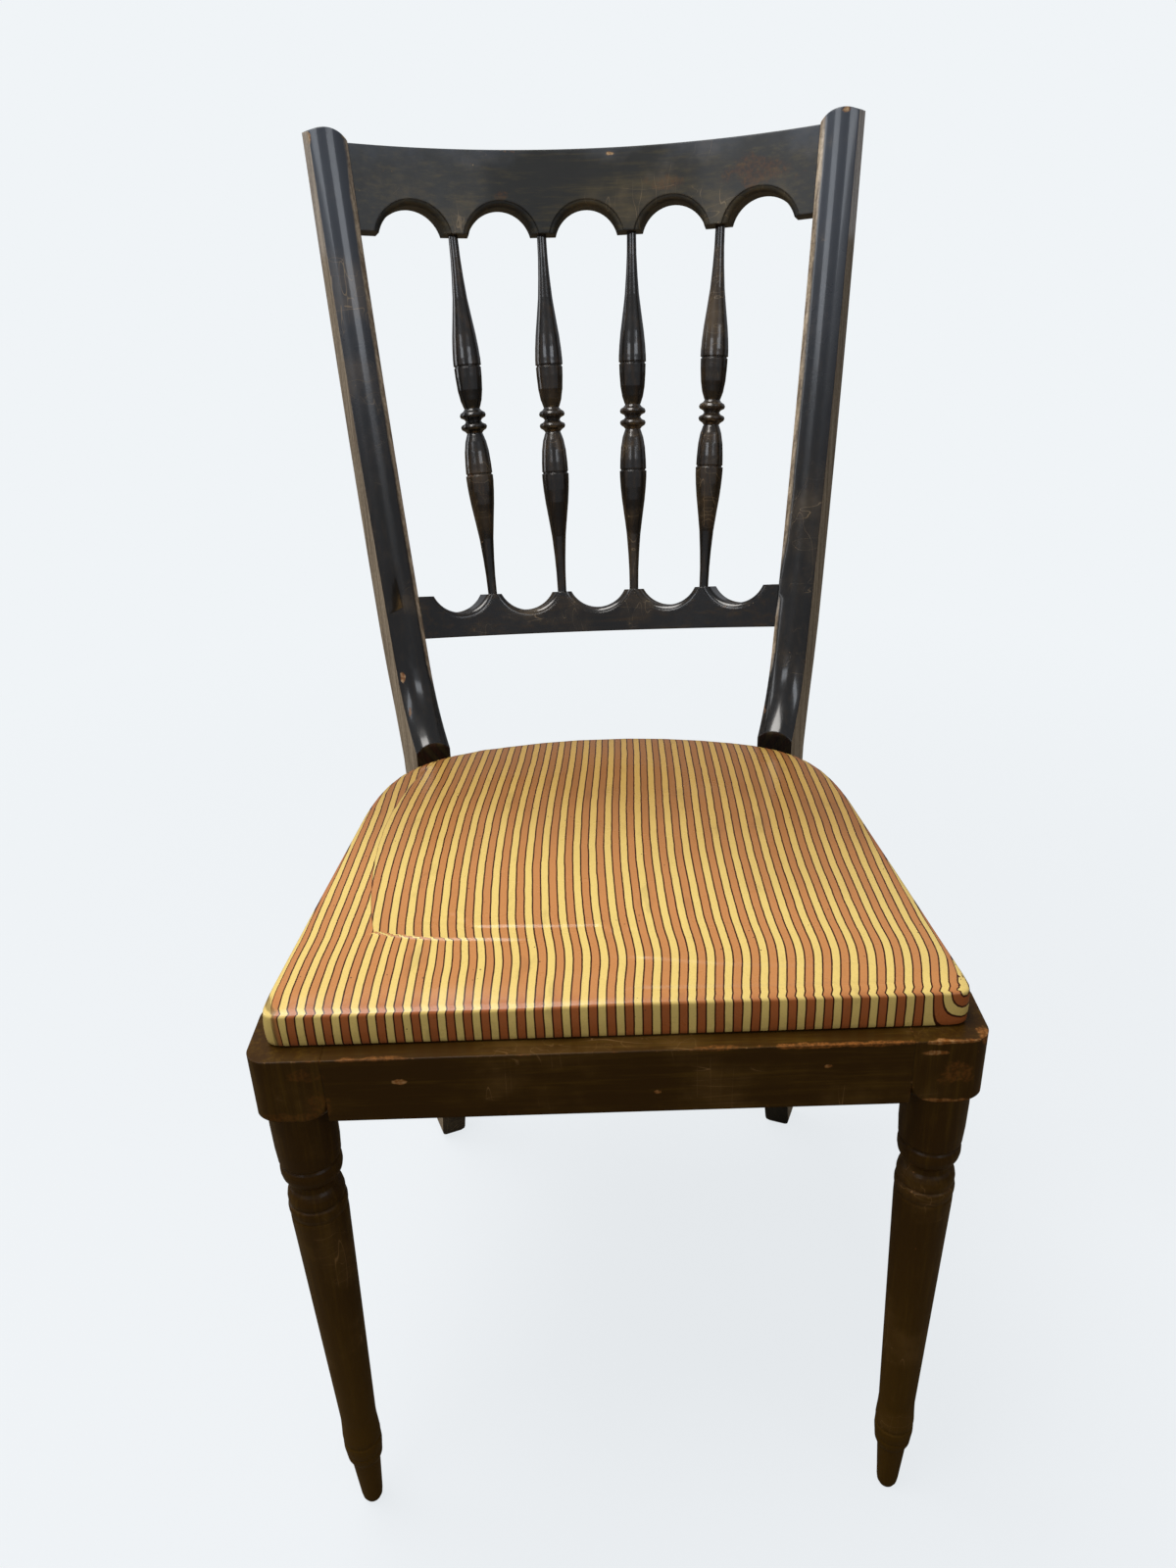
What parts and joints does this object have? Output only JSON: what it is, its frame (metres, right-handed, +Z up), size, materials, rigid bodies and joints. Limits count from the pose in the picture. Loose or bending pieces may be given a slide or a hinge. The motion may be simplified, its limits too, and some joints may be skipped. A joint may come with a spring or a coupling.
{
  "type": "side chair",
  "caption": "Worn dark-finished wooden side chair with turned front legs, a raked back of scalloped curved rails and turned spindles, and a thin striped vinyl seat.",
  "frame": {"origin": "on the floor under the middle of the chair's bounding box", "axes": "+Z up, the sitter faces -Y, +X to the right seen from the front"},
  "size_m": [0.4216, 0.5418, 0.891],
  "materials": {
    "dark_finish": "dark brown-black lacquer over wood, glossy, chipped and rubbed to tan wood at edges",
    "bare_wood": "unfinished softwood and plywood, out of sight",
    "padding": "thin cotton wadding, sealed in",
    "striped_cover": "glossy vinyl cloth with fine pale yellow and terracotta stripes, creased and specked",
    "steel": "plain steel fastenings"
  },
  "bodies": {
    "root": {"front_leg_left": "dark_finish", "front_leg_right": "dark_finish", "back_post_left": "dark_finish", "back_post_right": "dark_finish", "front_rail": "dark_finish", "side_rail_left": "dark_finish", "side_rail_right": "dark_finish", "back_seat_rail": "dark_finish", "crest_rail": "dark_finish", "lower_back_rail": "dark_finish", "spindle_1": "dark_finish", "spindle_2": "dark_finish", "spindle_3": "dark_finish", "spindle_4": "dark_finish", "seat_board": "bare_wood", "seat_padding": "padding", "seat_cover": "striped_cover", "corner_block_front_left": "bare_wood", "corner_block_front_right": "bare_wood", "corner_block_back_left": "bare_wood", "corner_block_back_right": "bare_wood", "seat_screws": "steel", "corner_block_screws": "steel", "frame_dowels": "bare_wood", "back_dowels": "bare_wood", "cover_staples": "steel"}
  },
  "joints": []
}
